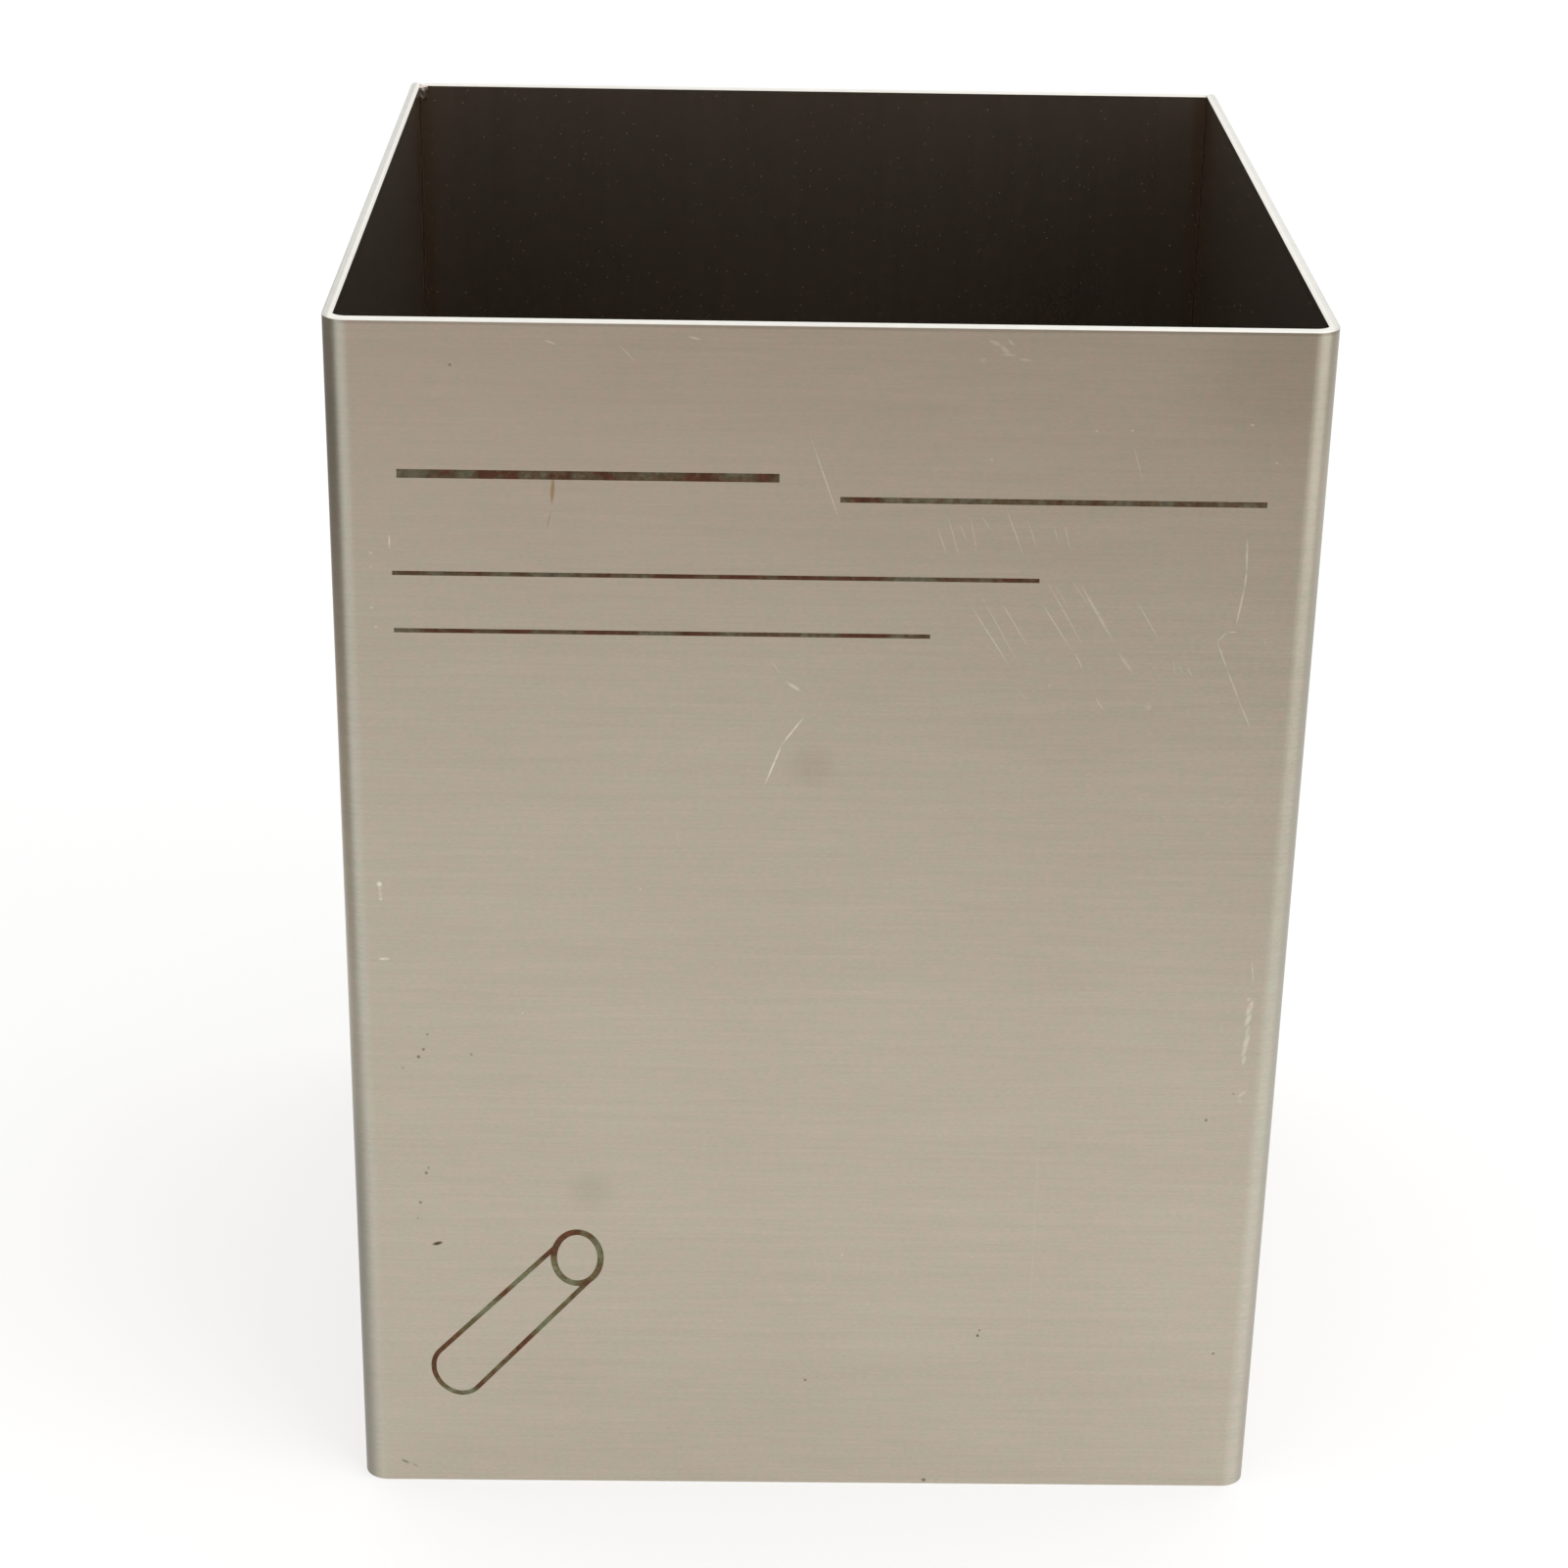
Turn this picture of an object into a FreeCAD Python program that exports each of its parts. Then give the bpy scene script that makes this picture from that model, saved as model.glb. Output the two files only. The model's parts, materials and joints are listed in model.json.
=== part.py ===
"""Straw holder: an open-topped box of stainless sheet that stands on a counter.

A single sheet, bent twice, makes the front and both side walls. A flat panel closes the rear and is
seam-welded between the side walls. A flat base plate is set up inside the walls and stitch-welded from
below, so that the box stands on the walls' lower edges. Millimetres, +Z up, the front faces -Y, and the
origin is at the middle of the footprint on the counter.
"""
import FreeCAD, Part
import Sketcher

import math
import os

DIMENSIONS = {
    "box_width": 110.0,            # over the side walls, along X
    "box_depth": 112.0,            # over the front wall and the back panel, along Y
    "box_height": 150.0,           # counter to rim
    "sheet_gauge": 1.2,            # every sheet piece is cut from this gauge
    "bend_inner_radius": 1.6,      # inside radius of the two bends
    "edge_break": 0.2,             # deburring bevel along cut edges
    "seam_grind_radius": 0.5,      # rear corners ground round after welding
    "fit_gap": 0.1,                # gap left where one sheet is set inside another
    "seam_bevel": 0.8,             # weld preparation on the back panel's upright edges
    "tack_radius": 1.1,            # quarter-round tack inside the rear left corner
    "tack_height": 2.0,
    "tack_end_round": 0.6,         # rounded lower end of the tack
    "base_recess": 2.0,            # underside of the base plate above the counter
    "stitch_leg": 1.2,             # leg of the fillet welds under the base plate
    "stitch_length": 12.0,
    "stitch_end_round": 0.5,       # rounded ends of a stitch
    "stitch_margin": 14.0,         # from a wall's inside corner to the nearest stitch
    "stitches_per_wall": 3,
}

NO_LENGTH = 1e-6                              # anything shorter counts as nothing
LINE_START, LINE_END, CENTRE = range(1, 4)    # point numbers within a sketch element
ORIGIN, Y_AXIS = -1, -2                       # a sketch's own origin and vertical axis


def make_sheet(doc):
    """The spreadsheet that holds the driving dimensions."""
    sheet = doc.addObject("Spreadsheet::Sheet", "dims")
    for row, (name, value) in enumerate(DIMENSIONS.items(), start=1):
        sheet.set(f"A{row}", name)
        sheet.set(f"B{row}", str(value))
        sheet.setAlias(f"B{row}", name)
    doc.recompute()
    return sheet


def make_body(doc, label):
    body = doc.addObject("PartDesign::Body", label)
    body.Label = label
    return body


def make_sketch(body, name, role):
    """An empty sketch on one of the body's own origin planes."""
    plane = next(o for o in body.Origin.OriginFeatures if o.Role == role)
    sketch = body.newObject("Sketcher::SketchObject", name)
    sketch.AttachmentSupport = [(plane, "")]
    sketch.MapMode = "FlatFace"
    return sketch


def drive(sketch, name, expression, *constraint):
    """Add a dimension to a sketch and bind it to the spreadsheet."""
    index = sketch.addConstraint(Sketcher.Constraint(*constraint))
    sketch.renameConstraint(index, name)
    sketch.setExpression(f"Constraints.{name}", expression)


def line(x0, y0, x1, y1):
    return Part.LineSegment(FreeCAD.Vector(x0, y0, 0), FreeCAD.Vector(x1, y1, 0))


def arc(x, y, radius, start_degrees, end_degrees):
    circle = Part.Circle(FreeCAD.Vector(x, y, 0), FreeCAD.Vector(0, 0, 1), radius)
    return Part.ArcOfCircle(circle, math.radians(start_degrees), math.radians(end_degrees))


def pad(body, sketch, name, length):
    """Extrude a sketch along its plane's normal."""
    feature = body.newObject("PartDesign::Pad", name)
    feature.Profile = sketch
    feature.setExpression("Length", length)
    sketch.Visibility = False
    body.Document.recompute()
    return feature


def edges_where(feature, test):
    """Names of a feature's edges whose bounding box passes a test."""
    return [f"Edge{i}" for i, e in enumerate(feature.Shape.Edges, 1) if test(e.BoundBox)]


def dress(body, kind, name, base, edges, size_property, size):
    """Fillet or chamfer the named edges."""
    feature = body.newObject(f"PartDesign::{kind}", name)
    feature.Base = (base, edges)
    feature.setExpression(size_property, size)
    body.Document.recompute()
    return feature


def lies_at(low, high, level):
    """Whether the stretch from low to high is all at one level."""
    return abs(low - level) < NO_LENGTH and abs(high - level) < NO_LENGTH


def break_rims(body, base):
    """Deburr every edge of a sheet piece's upper and lower cut faces."""
    top = base.Shape.BoundBox.ZMax
    bottom = base.Shape.BoundBox.ZMin
    rims = edges_where(
        base,
        lambda b: lies_at(b.ZMin, b.ZMax, top) or lies_at(b.ZMin, b.ZMax, bottom),
    )
    return dress(body, "Chamfer", "edge_break", base, rims, "Size", "dims.edge_break")


def make_front_wrap(doc):
    """Front and side walls: one sheet with two upright bends, open at the rear."""
    body = make_body(doc, "front_wrap")
    sketch = make_sketch(body, "wrap_profile", "XY_Plane")
    half_w = DIMENSIONS["box_width"] / 2
    half_d = DIMENSIONS["box_depth"] / 2
    gauge = DIMENSIONS["sheet_gauge"]
    inner_r = DIMENSIONS["bend_inner_radius"]
    outer_r = inner_r + gauge
    bend_x = half_w - outer_r
    bend_y = outer_r - half_d
    outer_left, left_bend, outer_front, right_bend, outer_right, right_end = range(6)
    inner_right, right_bend_in, inner_front, left_bend_in, inner_left, left_end = range(6, 12)
    sketch.addGeometry([
        line(-half_w, half_d, -half_w, bend_y),
        arc(-bend_x, bend_y, outer_r, 180, 270),
        line(-bend_x, -half_d, bend_x, -half_d),
        arc(bend_x, bend_y, outer_r, 270, 360),
        line(half_w, bend_y, half_w, half_d),
        line(half_w, half_d, half_w - gauge, half_d),
        line(half_w - gauge, half_d, half_w - gauge, bend_y),
        arc(bend_x, bend_y, inner_r, 270, 360),
        line(bend_x, gauge - half_d, -bend_x, gauge - half_d),
        arc(-bend_x, bend_y, inner_r, 180, 270),
        line(gauge - half_w, bend_y, gauge - half_w, half_d),
        line(gauge - half_w, half_d, -half_w, half_d),
    ], False)
    tangent_joints = [
        (outer_left, LINE_END, left_bend, LINE_START),
        (left_bend, LINE_END, outer_front, LINE_START),
        (outer_front, LINE_END, right_bend, LINE_START),
        (right_bend, LINE_END, outer_right, LINE_START),
        (inner_right, LINE_END, right_bend_in, LINE_END),
        (right_bend_in, LINE_START, inner_front, LINE_START),
        (inner_front, LINE_END, left_bend_in, LINE_END),
        (left_bend_in, LINE_START, inner_left, LINE_START),
    ]
    corners = [
        (outer_right, LINE_END, right_end, LINE_START),
        (right_end, LINE_END, inner_right, LINE_START),
        (inner_left, LINE_END, left_end, LINE_START),
        (left_end, LINE_END, outer_left, LINE_START),
        (left_bend, CENTRE, left_bend_in, CENTRE),
        (right_bend, CENTRE, right_bend_in, CENTRE),
    ]
    for joint in tangent_joints:
        sketch.addConstraint(Sketcher.Constraint("Tangent", *joint))
    for corner in corners:
        sketch.addConstraint(Sketcher.Constraint("Coincident", *corner))
    for upright in (outer_left, outer_right, inner_left, inner_right):
        sketch.addConstraint(Sketcher.Constraint("Vertical", upright))
    for level in (outer_front, inner_front, left_end, right_end):
        sketch.addConstraint(Sketcher.Constraint("Horizontal", level))
    sketch.addConstraint(Sketcher.Constraint("Equal", left_bend_in, right_bend_in))
    sketch.addConstraint(
        Sketcher.Constraint("Symmetric", outer_left, LINE_START, outer_right, LINE_END, Y_AXIS)
    )
    drive(sketch, "width", "dims.box_width",
          "DistanceX", outer_left, LINE_START, outer_right, LINE_END, 2 * half_w)
    drive(sketch, "depth", "dims.box_depth",
          "DistanceY", outer_front, LINE_START, outer_left, LINE_START, 2 * half_d)
    drive(sketch, "front_face", "dims.box_depth / 2",
          "DistanceY", outer_front, LINE_START, ORIGIN, LINE_START, half_d)
    drive(sketch, "gauge", "dims.sheet_gauge",
          "DistanceX", right_end, LINE_END, right_end, LINE_START, gauge)
    drive(sketch, "inner_radius", "dims.bend_inner_radius",
          "Radius", left_bend_in, inner_r)
    walls = pad(body, sketch, "walls", "dims.box_height")
    side_face = walls.Shape.BoundBox.XMax
    rear_face = walls.Shape.BoundBox.YMax
    rear_corners = edges_where(
        walls,
        lambda b: lies_at(b.YMin, b.YMax, rear_face)
        and b.ZLength > walls.Shape.BoundBox.ZLength / 2
        and abs(abs(b.Center.x) - side_face) < NO_LENGTH,
    )
    ground = dress(body, "Fillet", "seam_grind", walls, rear_corners,
                   "Radius", "dims.seam_grind_radius")
    break_rims(body, ground)
    return body


def polygon(sketch, points):
    """A closed polygon of straight edges, joined corner to corner."""
    count = len(points)
    sides = [line(*points[i], *points[(i + 1) % count]) for i in range(count)]
    sketch.addGeometry(sides, False)
    for i in range(count):
        sketch.addConstraint(
            Sketcher.Constraint("Coincident", i, LINE_END, (i + 1) % count, LINE_START)
        )


def make_back_panel(doc):
    """Rear wall: a flat panel between the side walls, its upright outer edges bevelled for the weld."""
    body = make_body(doc, "back_panel")
    sketch = make_sketch(body, "panel_section", "XY_Plane")
    gauge = DIMENSIONS["sheet_gauge"]
    half = DIMENSIONS["box_width"] / 2 - gauge - DIMENSIONS["fit_gap"]
    rear = DIMENSIONS["box_depth"] / 2
    front_side, right_side, _, left_side = range(4)
    polygon(sketch, [(-half, rear - gauge), (half, rear - gauge), (half, rear), (-half, rear)])
    sketch.addConstraint(Sketcher.Constraint("Horizontal", front_side))
    for upright in (left_side, right_side):
        sketch.addConstraint(Sketcher.Constraint("Vertical", upright))
    sketch.addConstraint(
        Sketcher.Constraint("Symmetric", left_side, LINE_START, right_side, LINE_END, Y_AXIS)
    )
    drive(sketch, "panel_width", "dims.box_width - 2 * dims.sheet_gauge - 2 * dims.fit_gap",
          "DistanceX", front_side, LINE_START, front_side, LINE_END, 2 * half)
    drive(sketch, "gauge", "dims.sheet_gauge",
          "DistanceY", right_side, LINE_START, right_side, LINE_END, gauge)
    drive(sketch, "rear_face", "dims.box_depth / 2",
          "DistanceY", ORIGIN, LINE_START, right_side, LINE_END, rear)
    panel = pad(body, sketch, "panel", "dims.box_height")
    rear_face = panel.Shape.BoundBox.YMax
    upright_edges = edges_where(
        panel,
        lambda b: lies_at(b.YMin, b.YMax, rear_face)
        and b.ZLength > panel.Shape.BoundBox.ZLength / 2,
    )
    bevelled = dress(body, "Chamfer", "weld_bevel", panel, upright_edges,
                     "Size", "dims.seam_bevel")
    break_rims(body, bevelled)
    return body


def make_seam_weld(doc, label, side):
    """Weld metal that fills the bevel between the back panel and a side wall, ground flush.

    side is -1 for the left seam and +1 for the right seam.
    """
    body = make_body(doc, label)
    sketch = make_sketch(body, "seam_section", "XY_Plane")
    gap = DIMENSIONS["fit_gap"]
    bevel = DIMENSIONS["seam_bevel"]
    wall = DIMENSIONS["box_width"] / 2 - DIMENSIONS["sheet_gauge"]
    rear = DIMENSIONS["box_depth"] / 2
    wall_side, root, panel_side, face = range(4)
    polygon(sketch, [
        (side * wall, rear),
        (side * wall, rear - bevel),
        (side * (wall - gap), rear - bevel),
        (side * (wall - gap - bevel), rear),
    ])
    sketch.addConstraint(Sketcher.Constraint("Vertical", wall_side))
    for level in (root, face):
        sketch.addConstraint(Sketcher.Constraint("Horizontal", level))
    inward = (LINE_START, LINE_END) if side < 0 else (LINE_END, LINE_START)
    root_points = (root, inward[0], root, inward[1])
    bevel_points = (panel_side, inward[0], panel_side, inward[1])
    wall_points = (wall_side, LINE_START, ORIGIN, LINE_START)
    if side > 0:
        wall_points = (ORIGIN, LINE_START, wall_side, LINE_START)
    drive(sketch, "wall_face", "dims.box_width / 2 - dims.sheet_gauge",
          "DistanceX", *wall_points, wall)
    drive(sketch, "rear_face", "dims.box_depth / 2",
          "DistanceY", ORIGIN, LINE_START, wall_side, LINE_START, rear)
    drive(sketch, "weld_depth", "dims.seam_bevel",
          "DistanceY", wall_side, LINE_END, wall_side, LINE_START, bevel)
    drive(sketch, "root_width", "dims.fit_gap",
          "DistanceX", *root_points, gap)
    drive(sketch, "bevel_width", "dims.seam_bevel",
          "DistanceX", *bevel_points, bevel)
    sketch.setExpression("AttachmentOffset.Base.z", "dims.edge_break")
    pad(body, sketch, "seam", "dims.box_height - 2 * dims.edge_break")
    return body


def quarter_round(sketch, radius_name):
    """A quarter disc in the sketch's first quadrant, with its corner at the origin."""
    radius = DIMENSIONS[radius_name]
    base, upright, bulge = range(3)
    sketch.addGeometry([
        line(0, 0, radius, 0),
        line(0, radius, 0, 0),
        arc(0, 0, radius, 0, 90),
    ], False)
    sketch.addConstraint(Sketcher.Constraint("Coincident", base, LINE_START, ORIGIN, LINE_START))
    sketch.addConstraint(Sketcher.Constraint("Coincident", upright, LINE_END, ORIGIN, LINE_START))
    sketch.addConstraint(Sketcher.Constraint("Coincident", bulge, CENTRE, ORIGIN, LINE_START))
    sketch.addConstraint(Sketcher.Constraint("Coincident", base, LINE_END, bulge, LINE_START))
    sketch.addConstraint(Sketcher.Constraint("Coincident", upright, LINE_START, bulge, LINE_END))
    sketch.addConstraint(Sketcher.Constraint("Horizontal", base))
    sketch.addConstraint(Sketcher.Constraint("Vertical", upright))
    drive(sketch, "bulge_radius", f"dims.{radius_name}", "Radius", bulge, radius)


def make_rim_tack(doc):
    """Small tack weld inside the rear left corner, at the rim."""
    body = make_body(doc, "rim_tack_weld")
    sketch = make_sketch(body, "tack_section", "XY_Plane")
    quarter_round(sketch, "tack_radius")
    tack = pad(body, sketch, "tack", "dims.tack_height")
    lower_end = edges_where(
        tack,
        lambda b: lies_at(b.ZMin, b.ZMax, 0) and min(b.XLength, b.YLength) > NO_LENGTH,
    )
    dress(body, "Fillet", "tack_end", tack, lower_end, "Radius", "dims.tack_end_round")
    body.Placement.Rotation = FreeCAD.Rotation(FreeCAD.Vector(0, 0, 1), -90)
    body.setExpression("Placement.Base.x", "dims.sheet_gauge - dims.box_width / 2")
    body.setExpression("Placement.Base.y", "dims.box_depth / 2 - dims.sheet_gauge")
    body.setExpression("Placement.Base.z", "dims.box_height - dims.edge_break - dims.tack_height")
    return body


def make_base_plate(doc):
    """Floor: a flat plate inside the walls, its front corners rounded to clear the bends."""
    body = make_body(doc, "base_plate")
    sketch = make_sketch(body, "plate_outline", "XY_Plane")
    inset = DIMENSIONS["sheet_gauge"] + DIMENSIONS["fit_gap"]
    half_x = DIMENSIONS["box_width"] / 2 - inset
    half_y = DIMENSIONS["box_depth"] / 2 - inset
    front_side, right_side, rear_side, left_side = range(4)
    polygon(sketch, [(-half_x, -half_y), (half_x, -half_y), (half_x, half_y), (-half_x, half_y)])
    for level in (front_side, rear_side):
        sketch.addConstraint(Sketcher.Constraint("Horizontal", level))
    for upright in (left_side, right_side):
        sketch.addConstraint(Sketcher.Constraint("Vertical", upright))
    sketch.addConstraint(Sketcher.Constraint(
        "Symmetric", front_side, LINE_START, rear_side, LINE_START, ORIGIN, LINE_START
    ))
    drive(sketch, "plate_width", "dims.box_width - 2 * dims.sheet_gauge - 2 * dims.fit_gap",
          "DistanceX", front_side, LINE_START, front_side, LINE_END, 2 * half_x)
    drive(sketch, "plate_depth", "dims.box_depth - 2 * dims.sheet_gauge - 2 * dims.fit_gap",
          "DistanceY", right_side, LINE_START, right_side, LINE_END, 2 * half_y)
    plate = pad(body, sketch, "plate", "dims.sheet_gauge")
    front_face = plate.Shape.BoundBox.YMin
    front_corners = edges_where(
        plate,
        lambda b: lies_at(b.YMin, b.YMax, front_face) and b.XLength < NO_LENGTH,
    )
    dress(body, "Fillet", "bend_clearance", plate, front_corners,
          "Radius", "dims.bend_inner_radius - dims.fit_gap")
    body.setExpression("Placement.Base.z", "dims.base_recess")
    return body


def make_base_stitches(doc, label, turn, wall_length, reach):
    """Fillet welds between the base plate's underside and one wall, evenly spaced along it.

    Drawn with the wall's inner face in the local XZ plane and the plate's underside in the local XY
    plane. turn is the angle about Z that carries it to its wall, wall_length the wall's inside length
    and reach the distance from the box's axis to the wall's inner face, both as expressions.
    """
    body = make_body(doc, label)
    sketch = make_sketch(body, "stitch_section", "YZ_Plane")
    leg = DIMENSIONS["stitch_leg"]
    on_plate, on_wall, slope = range(3)
    sketch.addGeometry([
        line(0, 0, leg, 0),
        line(0, -leg, 0, 0),
        line(leg, 0, 0, -leg),
    ], False)
    sketch.addConstraint(Sketcher.Constraint("Coincident", on_plate, LINE_START, ORIGIN, LINE_START))
    sketch.addConstraint(Sketcher.Constraint("Coincident", on_wall, LINE_END, ORIGIN, LINE_START))
    sketch.addConstraint(Sketcher.Constraint("Coincident", on_plate, LINE_END, slope, LINE_START))
    sketch.addConstraint(Sketcher.Constraint("Coincident", slope, LINE_END, on_wall, LINE_START))
    sketch.addConstraint(Sketcher.Constraint("Horizontal", on_plate))
    sketch.addConstraint(Sketcher.Constraint("Vertical", on_wall))
    sketch.addConstraint(Sketcher.Constraint("Equal", on_plate, on_wall))
    drive(sketch, "leg", "dims.stitch_leg",
          "DistanceX", on_plate, LINE_START, on_plate, LINE_END, leg)
    sketch.setExpression("AttachmentOffset.Base.z", f"dims.stitch_margin - ({wall_length}) / 2")
    stitch = pad(body, sketch, "stitch", "dims.stitch_length")
    ends = edges_where(
        stitch,
        lambda b: b.XLength < NO_LENGTH and min(b.YLength, b.ZLength) > NO_LENGTH,
    )
    dress(body, "Fillet", "stitch_ends", stitch, ends, "Radius", "dims.stitch_end_round")
    row = body.newObject("PartDesign::LinearPattern", "stitch_row")
    row.TransformMode = "Whole shape"
    row.Direction = (sketch, ["N_Axis"])
    row.setExpression("Length", f"({wall_length}) - 2 * dims.stitch_margin - dims.stitch_length")
    row.setExpression("Occurrences", "dims.stitches_per_wall")
    body.Tip = row
    body.Placement.Rotation = FreeCAD.Rotation(FreeCAD.Vector(0, 0, 1), turn)
    body.setExpression("Placement.Base.x", f"({reach}) * sin({turn} deg)")
    body.setExpression("Placement.Base.y", f"-({reach}) * cos({turn} deg)")
    body.setExpression("Placement.Base.z", "dims.base_recess")
    return body


def check(doc, bodies):
    """Stop before anything is written if an object failed or a sub-part has no sound shape."""
    for obj in doc.Objects:
        if "Invalid" in obj.State or "Error" in obj.State:
            raise RuntimeError(f"{obj.Label} failed: {obj.State}")
        if obj.isDerivedFrom("Sketcher::SketchObject") and not obj.FullyConstrained:
            raise RuntimeError(f"{obj.Label} is not fully constrained")
    for body in bodies:
        if body.Shape.isNull() or not body.Shape.isValid() or not body.Shape.Solids:
            raise RuntimeError(f"{body.Label} has no valid solid")


def main():
    doc = FreeCAD.newDocument("straw_holder")
    make_sheet(doc)
    inner_width = "dims.box_width - 2 * dims.sheet_gauge"
    inner_depth = "dims.box_depth - 2 * dims.sheet_gauge"
    half_width = "dims.box_width / 2 - dims.sheet_gauge"
    half_depth = "dims.box_depth / 2 - dims.sheet_gauge"
    bodies = [
        make_front_wrap(doc),
        make_back_panel(doc),
        make_base_plate(doc),
        make_seam_weld(doc, "left_seam_weld", -1),
        make_seam_weld(doc, "right_seam_weld", 1),
        make_rim_tack(doc),
        make_base_stitches(doc, "front_base_stitches", 0, inner_width, half_depth),
        make_base_stitches(doc, "right_base_stitches", 90, inner_depth, half_width),
        make_base_stitches(doc, "back_base_stitches", 180, inner_width, half_depth),
        make_base_stitches(doc, "left_base_stitches", 270, inner_depth, half_width),
    ]
    doc.recompute()
    check(doc, bodies)
    os.makedirs("parts", exist_ok=True)
    for body in bodies:
        body.Shape.exportStep(f"parts/{body.Label}.step")
        box = body.Shape.BoundBox
        print(f"{body.Label}: {len(body.Shape.Solids)} solids, {body.Shape.Volume:.2f} mm3, "
              f"x {box.XMin:.2f}..{box.XMax:.2f}, y {box.YMin:.2f}..{box.YMax:.2f}, "
              f"z {box.ZMin:.2f}..{box.ZMax:.2f}")


main()
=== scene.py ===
"""Looks of the straw holder box: brushed stainless sheet, ground and raw welds, an etched straw mark."""

import json
import math

import bmesh
import bpy
from mathutils import Matrix, Vector


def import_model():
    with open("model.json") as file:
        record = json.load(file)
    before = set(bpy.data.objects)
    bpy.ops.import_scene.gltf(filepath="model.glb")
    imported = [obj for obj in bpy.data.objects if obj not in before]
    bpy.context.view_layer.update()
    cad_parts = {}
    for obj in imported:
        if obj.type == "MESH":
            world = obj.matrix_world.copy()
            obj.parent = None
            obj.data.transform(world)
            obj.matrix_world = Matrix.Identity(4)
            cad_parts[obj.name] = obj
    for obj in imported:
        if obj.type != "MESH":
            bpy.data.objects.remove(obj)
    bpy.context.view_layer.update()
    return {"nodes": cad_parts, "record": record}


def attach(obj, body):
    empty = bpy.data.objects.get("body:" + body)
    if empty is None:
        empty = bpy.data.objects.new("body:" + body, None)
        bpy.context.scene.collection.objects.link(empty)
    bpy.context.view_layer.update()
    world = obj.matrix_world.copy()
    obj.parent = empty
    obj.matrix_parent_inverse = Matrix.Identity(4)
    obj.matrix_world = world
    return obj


MM = 0.001

# Millimetres in the part's frame, as in the source of the solids.
HALF_WIDTH, HALF_DEPTH, HEIGHT = 55.0, 56.0, 150.0
GAUGE = 1.2
FACE_Y = -HALF_DEPTH

# Millimetres: how far past its face a point still counts as inside, and the deburred band at both edges.
INNER_SLACK = 0.1
RIM_STARTS, RIM_FULL = 0.24, 0.14

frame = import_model()


# ---------------------------------------------------------------- colours, as linear red, green and blue

PLAIN = (1.0, 1.0, 1.0)
BRUSHED_WARM, BRUSHED_COOL = (0.514, 0.436, 0.360), (0.474, 0.444, 0.354)
DRESSED = (0.53, 0.48, 0.41)
ROLLED_WARM, ROLLED_COOL = (0.468, 0.385, 0.335), (0.432, 0.395, 0.325)
MILL = (0.44, 0.405, 0.35)
CUT_EDGE = (0.84, 0.825, 0.765)
SCRATCHED = (0.86, 0.82, 0.72)
PIT, PORE = (0.09, 0.07, 0.05), (0.20, 0.17, 0.14)
DRIP, DUST = (0.36, 0.22, 0.10), (0.62, 0.55, 0.42)
JOINT_HEAT, BASE_HEAT = (0.40, 0.26, 0.13), (0.36, 0.24, 0.15)
BEAD_STRAW, BEAD_BROWN, BEAD_BLUE = (0.46, 0.37, 0.27), (0.33, 0.21, 0.13), (0.19, 0.18, 0.20)
TACK_BELOW, TACK_TOP = (0.20, 0.17, 0.13), (0.72, 0.62, 0.57)
ETCH_RED, ETCH_BROWN, ETCH_GREEN = (0.100, 0.040, 0.016), (0.115, 0.088, 0.040), (0.148, 0.150, 0.085)
# The paper's painted shade further off, outside its painted pool of light.
FAR_PAINTED_SHADE = (0.345, 0.290, 0.252)
SKY_BRIGHT, SKY_DIM = (1.08, 1.08, 1.08), (0.19, 0.15, 0.125)

# Factors on a colour: painted reflection colour on the flats by the rim and on the bends, with a painted
# highlight at the bends' top, and a darker tone on the etched marks of the upper half.
PAINTED_TOP_LEFT, PAINTED_TOP_RIGHT = (1.0, 0.955, 0.96), (1.0, 0.98, 0.975)
PAINTED_BEND_FOOT, PAINTED_BEND_MIDDLE, PAINTED_BEND_TOP = (1.0, 1.04, 1.07), (1.0, 1.065, 1.09), (1.08, 1.16, 1.19)
ETCH_UPPER = (0.72, 0.62, 0.70)


# ---------------------------------------------------------------- node helpers


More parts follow.
